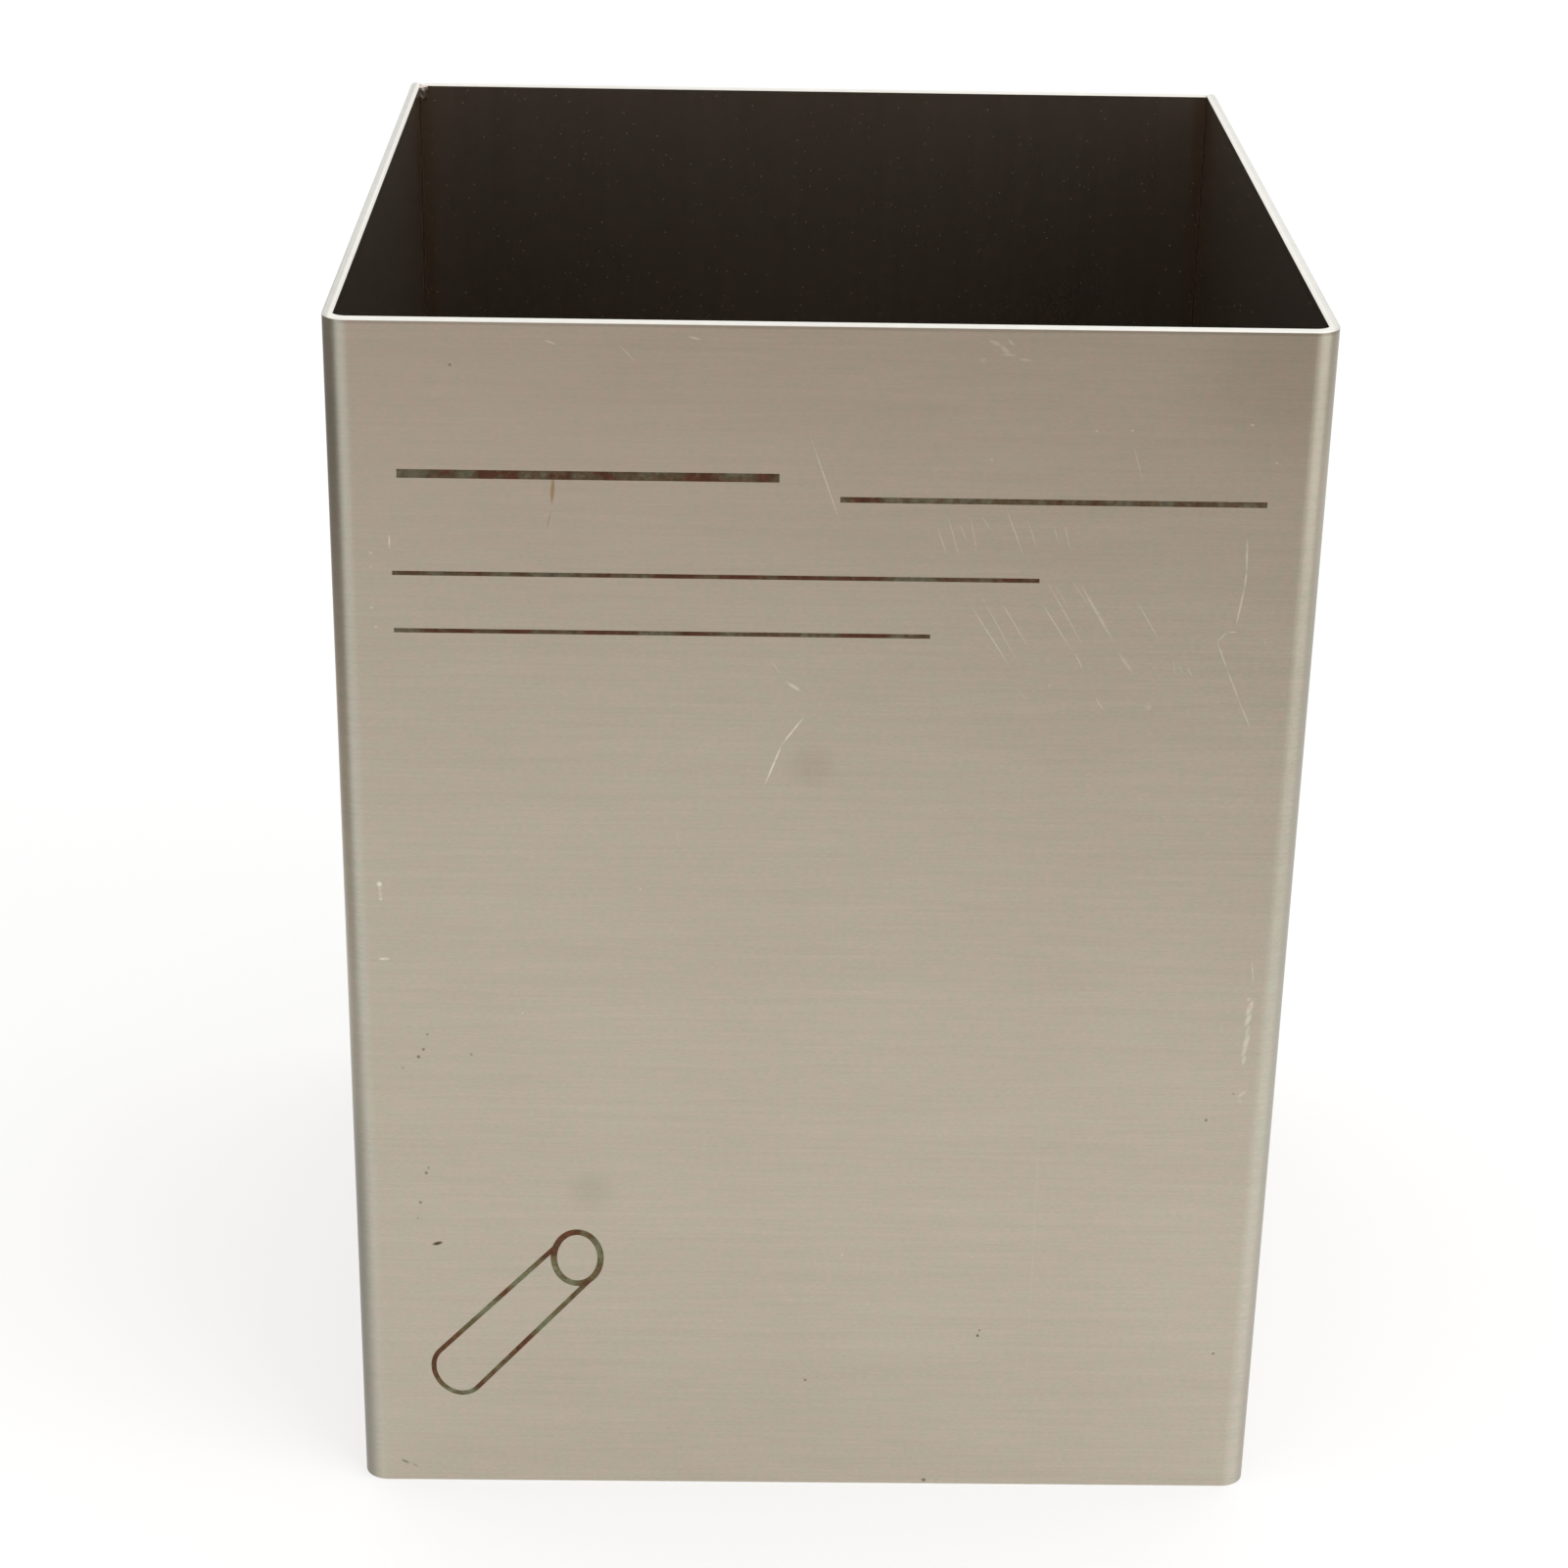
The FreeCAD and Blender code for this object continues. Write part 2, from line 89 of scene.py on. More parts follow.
class Shader:
    """One material and short calls that add its nodes.

    A value is a number, a tuple or another node's socket. point, x, y and z are in mm in the part's frame.
    """

    def __init__(self, name):
        self.material = bpy.data.materials.new(name)
        self.material.use_nodes = True
        self.tree = self.material.node_tree
        self.tree.nodes.clear()
        self.surface = self.tree.nodes.new("ShaderNodeBsdfPrincipled")
        self.output = self.tree.nodes.new("ShaderNodeOutputMaterial")
        self.put(self.output.inputs["Surface"], self.surface.outputs["BSDF"])
        self.where = self.tree.nodes.new("ShaderNodeTexCoord").outputs["Object"]
        self.point = self.vector("SCALE", self.where, scale=1.0 / MM)
        split = self.node("ShaderNodeSeparateXYZ")
        self.put(split.inputs[0], self.point)
        self.x, self.y, self.z = split.outputs

    def node(self, kind, **settings):
        made = self.tree.nodes.new(kind)
        for name, value in settings.items():
            setattr(made, name, value)
        return made

    def put(self, socket, value):
        if isinstance(value, bpy.types.NodeSocket):
            self.tree.links.new(value, socket)
        elif socket.type == "RGBA" and len(value) == 3:
            socket.default_value = (*value, 1.0)
        else:
            socket.default_value = value

    def set(self, **values):
        for name, value in values.items():
            self.put(self.surface.inputs[name.replace("_", " ")], value)

    def math(self, operation, *values):
        made = self.node("ShaderNodeMath", operation=operation)
        for socket, value in zip(made.inputs, values):
            self.put(socket, value)
        return made.outputs[0]

    def vector(self, operation, *values, scale=None):
        made = self.node("ShaderNodeVectorMath", operation=operation)
        for socket, value in zip(made.inputs, values):
            self.put(socket, value)
        if scale is not None:
            self.put(made.inputs["Scale"], scale)
        return made.outputs["Value" if operation == "DISTANCE" else "Vector"]

    def step(self, value, low, high, to_low=0.0, to_high=1.0):
        """A smooth step from to_low at low to to_high at high."""
        made = self.node("ShaderNodeMapRange", interpolation_type="SMOOTHSTEP", clamp=False)
        ends = {"Value": value, "From Min": low, "From Max": high, "To Min": to_low, "To Max": to_high}
        for name, end in ends.items():
            self.put(made.inputs[name], end)
        return made.outputs["Result"]

    def vary(self, value, spread, middle=1.0):
        """The middle, less or more by up to half the spread as the value goes from 0 to 1."""
        return self.math("MULTIPLY_ADD", value, spread, middle - spread / 2)

    def scaled(self, stretch):
        """The place with that many texture units to the millimetre along x, y and z."""
        made = self.node("ShaderNodeMapping")
        self.put(made.inputs["Vector"], self.where)
        made.inputs["Scale"].default_value = Vector(stretch) / MM
        return made.outputs["Vector"]

    def noise(self, stretch, detail=2.0, roughness=0.5):
        made = self.node("ShaderNodeTexNoise")
        self.put(made.inputs["Vector"], self.scaled(stretch))
        made.inputs["Scale"].default_value = 1.0
        made.inputs["Detail"].default_value = detail
        made.inputs["Roughness"].default_value = roughness
        return made.outputs["Fac"]

    def mix(self, share, first, second):
        """Two colours."""
        made = self.node("ShaderNodeMix", data_type="RGBA")
        for index, value in ((0, share), (6, first), (7, second)):
            self.put(made.inputs[index], value)
        return made.outputs[2]

    def blend(self, share, first, second):
        """Two numbers."""
        made = self.node("ShaderNodeMix", data_type="FLOAT")
        for index, value in ((0, share), (2, first), (3, second)):
            self.put(made.inputs[index], value)
        return made.outputs[0]

    def tint(self, colour, factor):
        return self.vector("SCALE", colour, scale=factor)

    def bump(self, height, depth):
        """depth is how far, in millimetres, the surface rises from height 0 to 1."""
        made = self.node("ShaderNodeBump")
        made.inputs["Strength"].default_value = 1.0
        made.inputs["Distance"].default_value = depth * MM
        self.put(made.inputs["Height"], height)
        self.put(self.surface.inputs["Normal"], made.outputs["Normal"])

    def widest(self, masks):
        found = masks[0]
        for mask in masks[1:]:
            found = self.math("MAXIMUM", found, mask)
        return found

    def stroke(self, start, end, width, strength=1.0):
        """A soft line of that width between two points (x, z) in millimetres, thinner to its ends."""
        start, end = Vector(start), Vector(end)
        middle, run = (start + end) / 2, end - start
        reach, faded, full = 0.56, 1.3, 0.1
        along, across = run / (reach * run.length_squared), run.orthogonal() * 2.0 / (run.length * width)
        away = 0.0
        for way in (along, across):
            part = self.math("MULTIPLY_ADD", self.z, way.y, -middle.dot(way))
            part = self.math("MULTIPLY_ADD", self.x, way.x, part)
            away = self.math("MULTIPLY_ADD", part, part, away)
        return self.step(away, faded, full, 0.0, strength)

    def spot(self, x, z, radius, strength, softness=0.5):
        """A soft round spot on the front face."""
        away = self.vector("DISTANCE", self.point, (x, FACE_Y, z))
        return self.step(away, radius * (1.0 + softness), radius * (1.0 - softness), 0.0, strength)


# ---------------------------------------------------------------- marks of use and a patch of painted shade, in mm on the front face

# Each is (width, strength, points as x, z).
SCRATCHES = [
    (0.26, 0.50, [(46.3, 126.1), (46.5, 122.4), (46.4, 120.5), (45.8, 116.1)]),
    (0.16, 0.50, [(45.9, 115.2), (44.8, 115.2), (43.8, 114.0), (45.1, 110.8), (46.7, 107.0), (48.2, 103.7)]),
    (0.14, 0.35, [(12.1, 127.0), (13.2, 124.0)]),
    (0.14, 0.35, [(13.3, 128.1), (14.5, 124.0)]),
    (0.14, 0.30, [(14.5, 127.6), (15.3, 125.7)]),
    (0.14, 0.30, [(15.7, 128.2), (16.5, 124.4)]),
    (0.12, 0.30, [(16.9, 128.5), (18.0, 126.8)]),
    (0.14, 0.40, [(19.5, 129.6), (21.7, 123.9)]),
    (0.14, 0.35, [(22.0, 128.0), (23.1, 125.0)]),
    (0.14, 0.30, [(24.9, 127.4), (25.4, 125.7)]),
    (0.30, 0.20, [(26.1, 127.4), (26.8, 124.9)]),
    (0.16, 0.45, [(16.2, 117.8), (20.5, 111.1)]),
    (0.14, 0.30, [(17.3, 119.0), (21.7, 111.1)]),
    (0.14, 0.40, [(19.5, 118.4), (22.6, 113.3)]),
    (0.16, 0.45, [(24.1, 118.2), (27.5, 112.9)]),
    (0.16, 0.40, [(28.0, 112.4), (28.9, 110.6)]),
    (0.14, 0.40, [(24.5, 120.8), (28.7, 113.6)]),
    (0.12, 0.30, [(25.4, 120.5), (26.9, 117.9)]),
    (0.12, 0.30, [(27.2, 121.1), (29.3, 118.0)]),
    (0.42, 0.30, [(28.4, 120.3), (32.0, 114.2)]),
    (0.45, 0.22, [(32.9, 112.4), (34.6, 110.1)]),
    (0.14, 0.40, [(34.6, 118.6), (37.3, 114.1)]),
    (0.14, 0.30, [(39.0, 111.6), (39.4, 110.1)]),
    (0.14, 0.30, [(39.8, 111.0), (40.2, 110.2)]),
    (0.16, 0.35, [(40.7, 110.8), (41.2, 109.9)]),
    (0.14, 0.28, [(33.2, 136.6), (34.4, 132.7)]),
    (0.16, 0.35, [(30.6, 107.0), (31.5, 105.6)]),
    (0.12, 0.30, [(21.9, 107.8), (22.7, 106.8)]),
    (0.12, 0.30, [(49.0, 114.4), (49.4, 113.4)]),
    (0.14, 0.35, [(-22.9, 147.5), (-21.2, 145.7)]),
    (0.16, 0.50, [(-2.0, 137.1), (1.2, 128.0)]),
    (0.22, 0.55, [(-48.2, 125.4), (-48.2, 123.9)]),
    (0.40, 0.50, [(-4.2, 108.5), (-2.7, 107.5)]),
    (0.12, 0.30, [(-6.1, 111.2), (-4.9, 109.5)]),
    (0.20, 0.85, [(-2.3, 104.1), (-4.6, 100.9), (-6.4, 96.0)]),
    (0.44, 0.24, [(-50.6, 83.0), (-50.5, 80.7)]),
    (0.36, 0.60, [(-50.95, 73.1), (-49.7, 73.1)]),
    (0.16, 0.10, [(26.9, 51.3), (27.0, 14.2)]),
    (0.64, 0.46, [(51.12, 68.8), (50.50, 66.8)]),
    (0.62, 0.44, [(51.0, 67.1), (50.46, 65.5)]),
    (0.40, 0.24, [(50.90, 65.6), (50.60, 63.9)]),
    (0.70, 0.38, [(50.97, 64.3), (50.50, 62.4)]),
    (0.60, 0.32, [(50.86, 62.9), (50.36, 61.4)]),
    (0.52, 0.35, [(50.70, 61.5), (50.54, 60.3)]),
    (0.16, 0.40, [(50.6, 73.9), (51.0, 71.2)]),
    (0.46, 0.26, [(50.2, 55.9), (51.3, 56.8)]),
    (0.20, 0.45, [(-30.9, 147.9), (-29.6, 147.4)]),
    (0.24, 0.45, [(-15.4, 148.5), (-14.2, 148.2)]),
    (0.56, 0.30, [(16.9, 148.5), (18.1, 148.0), (19.1, 147.1)]),
    (0.34, 0.26, [(18.3, 147.0), (19.9, 146.9)]),
    (0.34, 0.30, [(18.9, 148.7), (19.6, 148.0)]),
    (0.36, 0.26, [(20.2, 146.5), (21.6, 146.3)]),
]
DARK_LINES = [
    (0.52, 1.00, [(-45.7, 34.4), (-44.5, 34.75)]),
    (0.20, 0.25, [(-30.4, 128.4), (-30.9, 126.4)]),
    (0.34, 0.60, [(-50.3, 3.1), (-49.4, 2.6)]),
    (0.30, 0.30, [(-49.0, 2.5), (-48.3, 2.1)]),
]
DRIP_LINE = (0.50, 0.80, [(-30.1, 132.4), (-30.3, 129.4)])

# Each is (x, z, radius, strength).
PALE_DOTS = [
    (32.9, 138.6, 0.14, 0.40), (29.0, 138.5, 0.14, 0.35), (45.9, 139.4, 0.15, 0.40),
    (48.9, 135.1, 0.13, 0.40), (17.7, 135.1, 0.13, 0.35), (25.3, 108.5, 0.12, 0.35),
    (39.2, 92.4, 0.12, 0.40), (-50.3, 123.3, 0.17, 0.35), (-50.3, 121.7, 0.14, 0.30),
    (-50.4, 116.9, 0.14, 0.30), (-50.0, 114.6, 0.14, 0.30), (-50.6, 82.75, 0.28, 0.75),
    (-50.5, 80.85, 0.20, 0.45), (-20.6, 82.5, 0.12, 0.35), (-34.4, 66.2, 0.12, 0.35),
    (3.8, 33.5, 0.13, 0.40), (36.5, 106.0, 0.34, 0.25), (16.3, 146.3, 0.30, 0.15),
    (50.6, 69.0, 0.20, 0.28), (50.55, 55.3, 0.24, 0.15),
]
DARK_DOTS = [
    (-41.1, 145.0, 0.15, 0.60), (-46.7, 60.2, 0.20, 0.65), (-46.1, 61.2, 0.18, 0.60),
    (-45.6, 63.2, 0.14, 0.50), (-40.5, 60.6, 0.16, 0.42), (-48.6, 58.7, 0.12, 0.50),
    (-46.2, 44.4, 0.20, 0.60), (-47.0, 40.3, 0.18, 0.60), (-47.4, 38.1, 0.12, 0.50),
    (-45.9, 45.1, 0.14, 0.50), (-0.3, 15.4, 0.18, 0.60), (46.7, 52.7, 0.19, 0.55),
    (49.7, 56.3, 0.16, 0.30), (20.7, 22.1, 0.18, 0.80), (20.9, 22.85, 0.14, 0.60),
    (49.8, 19.8, 0.16, 0.60), (14.8, 0.7, 0.24, 0.70),
]
# The first two are smudges; the third, wide one is painted shade that darkens the top right corner.
SMUDGES_AND_SHADE = [(-1.1, 98.3, 2.0, 0.09), (-26.6, 42.1, 2.1, 0.08), (50.5, 145.5, 9.0, 0.11)]


# ---------------------------------------------------------------- materials


def dressed_corners(s, across):
    """1 beside the rear seams, where the sheet was dressed up and down after welding."""
    wander = s.math("MULTIPLY", s.noise((0.4, 0.4, 0.05), 3.0), 3.0)
    side = s.math("MULTIPLY", s.step(s.math("ADD", s.y, wander), 51.6, 54.6), s.step(across, 54.0, 54.6))
    rear = s.math("MULTIPLY", s.step(s.math("ADD", across, wander), 50.8, 53.8), s.step(s.y, 54.9, 55.4))
    return s.widest([side, rear])


def painted_reflection_tint(s, across):
    """Painted reflection colour on the brushed colour: the flats a little pinker and darker to the rim, the
    bends more neutral and lighter at their top.
    """
    bends = s.math("MULTIPLY", s.step(across, 51.6, 53.2), s.step(s.y, -51.6, -52.8))
    top = s.mix(s.step(s.x, -40.0, 50.0), PAINTED_TOP_LEFT, PAINTED_TOP_RIGHT)
    flat = s.mix(s.step(s.z, 100.0, HEIGHT), PLAIN, top)
    bend = s.mix(s.step(s.z, 20.0, 60.0), PAINTED_BEND_FOOT, PAINTED_BEND_MIDDLE)
    bend = s.mix(s.step(s.z, 110.0, HEIGHT), bend, PAINTED_BEND_TOP)
    return s.mix(bends, flat, bend)


def painted_shade_strips(s):
    """How much painted shade darkens the outer side of each bend, by height, and the painted dark line just
    below the deburred rim.
    """
    left = s.step(s.x, -52.5, s.step(s.z, 80.0, 120.0, -54.7, -54.15))
    ends = s.math("MAXIMUM", s.step(s.z, 74.0, 36.0, 0.0, 0.52), s.step(s.z, 96.0, 140.0, 0.0, 0.47))
    left = s.math("MULTIPLY", left, ends)
    right = s.math("MULTIPLY", s.step(s.x, 53.5, 54.9), s.step(s.z, 132.0, 108.0, 0.0, 0.21))
    bent = s.math("MULTIPLY", s.math("ADD", left, right), s.step(s.y, -52.2, -54.3))
    # A painted shade line just below the deburred rim.
    lip = s.step(s.z, HEIGHT - 0.62, HEIGHT - 0.44, 0.0, 0.18)
    return s.math("MAXIMUM", bent, lip)


def marks(s, lines, dots, front):
    """How strong the marks are. Each joins the total as it is made: a shader holds few open values."""
    total = 0.0
    for width, strength, line in lines:
        for start, end in zip(line, line[1:]):
            total = s.math("MAXIMUM", total, s.stroke(start, end, width, strength))
    total = s.math("MULTIPLY", total, front)
    for dot in dots:
        total = s.math("MAXIMUM", total, s.spot(*dot))
    return total


def wear_and_shade_on_front(s, outside):
    """Scratches, dots, smudges, a wide patch of painted shade at the top right and a rusty drip over the
    outside's colour.
    """
    front = s.step(s.y, -54.0, -55.4)
    pale = marks(s, SCRATCHES, PALE_DOTS, front)
    broken = s.step(s.noise((1.6, 1.6, 1.6)), 0.25, 0.55, 0.45, 1.0)
    pale = s.math("MULTIPLY", pale, broken)
    dark = marks(s, DARK_LINES, DARK_DOTS, front)
    # Smudges, and one wide patch of painted shade at the top right.
    smudge_and_shade = s.widest([s.spot(*place, softness=0.8) for place in SMUDGES_AND_SHADE])
    width, strength, ends = DRIP_LINE
    drip = s.math("MULTIPLY", s.stroke(*ends, width, strength), front)
    outside = s.tint(outside, s.math("SUBTRACT", 1.0, smudge_and_shade))
    outside = s.mix(drip, outside, DRIP)
    outside = s.mix(pale, outside, SCRATCHED)
    return s.mix(dark, outside, PIT)


def dust_specks(s):
    """Small pale specks of many sizes, the smaller ones fainter."""
    cells = s.node("ShaderNodeTexVoronoi", feature="F1")
    s.put(cells.inputs["Vector"], s.scaled((1.0, 1.0, 1.0)))
    cells.inputs["Scale"].default_value = 1.0
    largest, core, brightest, falls_by = 0.16, 0.4, 0.28, 3.0
    size = s.math("MULTIPLY", cells.outputs["Color"], largest)
    strength = s.math("MULTIPLY", s.math("POWER", cells.outputs["Color"], falls_by), brightest)
    return s.step(cells.outputs["Distance"], size, s.math("MULTIPLY", size, core), 0.0, strength)


def brushed_sheet():
    """The folded wrap and the back panel: brushed outside, plain mill finish inside, bare cut rim."""
    s = Shader("brushed_sheet_finish")
    across, back = s.math("ABSOLUTE", s.x), s.math("ABSOLUTE", s.y)
    inside = s.math(
        "MULTIPLY",
        s.math("LESS_THAN", across, HALF_WIDTH - GAUGE + INNER_SLACK),
        s.math("LESS_THAN", back, HALF_DEPTH - GAUGE + INNER_SLACK),
    )
    rim = s.widest([
        s.step(s.z, HEIGHT - RIM_STARTS, HEIGHT - RIM_FULL),
        s.step(s.z, RIM_STARTS, RIM_FULL),
    ])

    # Hairlines run level round the outside, and up and down where the sheet was dressed. They are fainter
    # towards the top.
    fine = s.blend(0.60, s.noise((0.10, 0.10, 3.4)), s.noise((1.5, 1.5, 4.2)))
    medium = s.noise((0.03, 0.03, 0.95))
    broad = s.noise((0.006, 0.006, 0.09), 1.0)
    cloud = s.noise((0.05, 0.05, 0.04))
    dressed = dressed_corners(s, across)
    upright = s.noise((2.8, 2.8, 0.08))
    grain = s.blend(dressed, s.blend(0.20, fine, medium), upright)
    grain = s.blend(s.step(s.z, 105.0, 140.0, 0.0, 0.30), grain, 0.5)

    # Outside: streaks of tone and a faint mottle of colour, with painted reflection colour, painted shade on
    # the bends and under the rim, and the marks of use over them.
    tone = s.vary(grain, 0.47, 1.015)
    tone = s.math("MULTIPLY", tone, s.vary(broad, 0.06))
    tone = s.math("MULTIPLY", tone, s.vary(cloud, 0.06))
    mottle = s.step(s.noise((0.70, 0.70, 0.70)), 0.32, 0.68)
    steel = s.mix(s.blend(0.3, mottle, cloud), BRUSHED_WARM, BRUSHED_COOL)
    # Painted reflection colour: pinker flats towards the rim, and more neutral bends that are lighter at
    # their top.
    steel = s.vector("MULTIPLY", steel, painted_reflection_tint(s, across))
    outside = s.mix(dressed, s.tint(steel, tone), s.tint(DRESSED, tone))
    # Painted shade: darker strips on the outer side of the bends, strong on the left, and a dark line just
    # below the rim.
    outside = s.tint(outside, s.math("SUBTRACT", 1.0, painted_shade_strips(s)))
    outside = wear_and_shade_on_front(s, outside)
    rough_out = s.blend(dressed, s.vary(grain, 0.16, 0.38), 0.42)

    # Inside: rolled sheet with faint upright lines, dust, and heat tint by the rear joints.
    rolled = s.noise((1.1, 1.1, 0.03), 3.0)
    inner = s.mix(mottle, ROLLED_WARM, ROLLED_COOL)
    inner = s.tint(inner, s.vary(rolled, 0.08))
    joint = s.math("MULTIPLY", s.step(across, 51.6, 53.0), s.step(s.y, 54.0, 54.7))
    inner = s.mix(s.math("MULTIPLY", joint, 0.45), inner, JOINT_HEAT)
    specks = s.math("MULTIPLY", dust_specks(s), inside)
    rough_in = s.vary(rolled, 0.02, 0.23)
    colour = s.mix(specks, s.mix(inside, outside, inner), DUST)
    rough = s.blend(specks, s.blend(inside, rough_out, rough_in), 0.8)

    # The cut rim is deburred along its length. On the side walls it is darkened by painted shade, mostly on
    # the left.
    cut = s.vary(s.noise((0.5, 0.5, 0.5), 3.0), 0.16)
    sides = s.math("MULTIPLY", s.step(across, 54.05, 54.40), s.step(s.x, 20.0, -20.0, 0.13, 0.29))
    colour = s.mix(rim, colour, s.tint(CUT_EDGE, s.math("SUBTRACT", cut, sides)))
    rough = s.blend(rim, rough, 0.38)

    s.set(Base_Color=colour, Metallic=1.0, Roughness=rough, Anisotropic=0.55, Anisotropic_Rotation=0.25)
    round_the_box = s.node("ShaderNodeTangent", direction_type="RADIAL", axis="Z").outputs[0]
    s.put(s.surface.inputs["Tangent"], round_the_box)
    s.bump(s.blend(inside, grain, s.math("MULTIPLY", rolled, 0.1)), 0.006)
    return s.material


def mill_sheet():
    """The base plate: plain rolled sheet, scuffed by the straws, heat tinted beside the stitches."""
    s = Shader("mill_sheet_finish")
    rolled = s.noise((0.05, 1.4, 1.4), 3.0)
    blotch = s.noise((0.12, 0.12, 0.12), 3.0)
    scuff = s.noise((0.9, 0.25, 0.9), 4.0, 0.6)
    across, back = s.math("ABSOLUTE", s.x), s.math("ABSOLUTE", s.y)
    edge = s.widest([s.step(across, 50.0, 53.2), s.step(back, 51.0, 54.2)])
    heat = s.math("MULTIPLY", edge, s.step(blotch, 0.40, 0.62))
    steel = s.tint(MILL, s.vary(rolled, 0.30))
    steel = s.tint(steel, s.vary(blotch, 0.20))
    colour = s.mix(s.math("MULTIPLY", heat, 0.45), steel, BASE_HEAT)
    rough = s.math("ADD", s.vary(rolled, 0.10, 0.29), s.step(scuff, 0.52, 0.75, 0.0, 0.08))
    s.set(Base_Color=colour, Metallic=1.0, Roughness=rough)
    s.bump(rolled, 0.004)
    return s.material


def ground_weld():
    """Weld metal ground flush and dressed up and down, with a few pores."""
    s = Shader("ground_weld_finish")
    upright = s.noise((3.4, 3.4, 0.10), 3.0)
    pores = s.step(s.noise((1.8, 1.8, 0.5)), 0.66, 0.74, 0.0, 0.5)
    colour = s.mix(pores, s.tint(DRESSED, s.vary(upright, 0.36)), PORE)
    s.set(Base_Color=colour, Metallic=1.0, Roughness=s.vary(upright, 0.18, 0.43))
    s.bump(upright, 0.010)
    return s.material


def raw_weld():
    """A bead as welded: rippled, with straw to brown and blue heat tint. The tack at the rim is paler."""
    s = Shader("raw_weld_finish")
    waves = s.node("ShaderNodeTexWave", wave_type="BANDS", bands_direction="DIAGONAL")
    s.put(waves.inputs["Vector"], s.scaled((0.45, 0.45, 0.45)))
    waves.inputs["Scale"].default_value = 1.0
    waves.inputs["Distortion"].default_value = 4.0
    waves.inputs["Detail"].default_value = 3.0
    ripple = waves.outputs["Fac"]
    blotch = s.noise((0.7, 0.7, 0.7), 3.0)
    bead = s.mix(s.step(blotch, 0.35, 0.60), BEAD_STRAW, BEAD_BROWN)
    bead = s.mix(s.step(blotch, 0.58, 0.72, 0.0, 0.5), bead, BEAD_BLUE)
    tack = s.mix(s.step(s.z, HEIGHT - 0.8, HEIGHT - 0.4), TACK_BELOW, TACK_TOP)
    colour = s.mix(s.math("GREATER_THAN", s.z, HEIGHT / 2), bead, tack)
    colour = s.tint(colour, s.vary(ripple, 0.14, 0.97))
    s.set(Base_Color=colour, Metallic=1.0, Roughness=s.vary(blotch, 0.30, 0.43))
    s.bump(ripple, 0.03)
    return s.material


def etched():
    """Etched marks, stained in patches from brown to a dull green, and darker in the upper half."""
    s = Shader("etched_line_finish")
    patch = s.noise((0.22, 0.22, 0.22), 4.0, 0.7)
    grit = s.noise((1.6, 1.6, 1.6))
    stain = s.mix(s.step(patch, 0.42, 0.50), ETCH_RED, ETCH_BROWN)
    stain = s.mix(s.step(patch, 0.52, 0.60), stain, ETCH_GREEN)
    stain = s.tint(stain, s.vary(grit, 1.2))
    stain = s.vector("MULTIPLY", stain, s.mix(s.step(s.z, 90.0, 100.0), PLAIN, ETCH_UPPER))
    s.set(Base_Color=stain, Metallic=0.25, Roughness=0.62, Specular_IOR_Level=0.25)
    s.bump(grit, 0.02)
    return s.material


# ---------------------------------------------------------------- etched pieces

# How deep the marks' solids start in the front wall, and how far they stand out of it.
ETCH_SINK, ETCH_RISE = 0.010, 0.015
TUBE_RISE = 0.7 * ETCH_RISE


def ribbon(name, line, width, closed=False, rise=ETCH_RISE):
    """A thin closed solid of that width along a line of (x, z) points in mm on the front face."""
    line = [Vector(p) for p in line]
    count = len(line)
    bm = bmesh.new()
    rows = []
    for i, here in enumerate(line):
        before = line[i - 1] if closed or i else here
        after = line[(i + 1) % count] if closed or i < count - 1 else here
        run = (after - before).normalized()
        side = Vector((-run.y, run.x)) * width / 2
        one, other = here + side, here - side
        corners = ((one, -rise), (other, -rise), (other, ETCH_SINK), (one, ETCH_SINK))
        rows.append([bm.verts.new((p.x * MM, (FACE_Y + depth) * MM, p.y * MM)) for p, depth in corners])
    pairs = list(zip(rows, rows[1:])) + ([(rows[-1], rows[0])] if closed else [])
    for a, b in pairs:
        for k in range(4):
            bm.faces.new((a[k], a[(k + 1) % 4], b[(k + 1) % 4], b[k]))
    if not closed:
        bm.faces.new(rows[0][::-1])
        bm.faces.new(rows[-1])
    bmesh.ops.recalc_face_normals(bm, faces=bm.faces)
    mesh = bpy.data.meshes.new(name)
    bm.to_mesh(mesh)
    bm.free()
    piece = bpy.data.objects.new(name, mesh)
    bpy.context.scene.collection.objects.link(piece)
    mesh.materials.append(ETCHED)
    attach(piece, "root")


def straw_mark():
    """The outline of a straw: its round mouth, two sides and the far end."""
    mouth, wide, tall = Vector((-28.25, 32.72)), 2.83, 3.61
    ring_sides, cap_sides = 72, 30
    turns = [math.tau * i / ring_sides for i in range(ring_sides)]
    ring = [mouth + Vector((wide * math.cos(t), tall * math.sin(t))) for t in turns]
    ribbon("etched_straw_mouth", ring, 0.78, closed=True)
    upper, lower = Vector((-30.45, 34.65)), Vector((-26.38, 30.01))
    left, right = Vector((-45.2, 19.2)), Vector((-40.7, 13.9))
    middle, reach = (left + right) / 2, Vector((-2.0, -2.2))
    turns = [math.pi * i / cap_sides for i in range(cap_sides + 1)]
    cap = [middle + (left - middle) * math.cos(t) + reach * math.sin(t) for t in turns]
    ribbon("etched_straw_tube", [upper, *cap, lower], 0.62, rise=TUBE_RISE)


def rules():
    """Plain rules in the place of wording."""
    for name, left, right, height, width in (
        ("etched_rule_heading", -47.2, -5.4, 132.6, 1.0),
        ("etched_rule_side", 1.3, 48.2, 130.2, 0.65),
        ("etched_rule_upper", -48.0, 23.6, 121.0, 0.5),
        ("etched_rule_lower", -48.0, 11.7, 114.2, 0.5),
    ):
        ribbon(name, [(left, height), (right, height)], width)


# ---------------------------------------------------------------- stage, light and camera

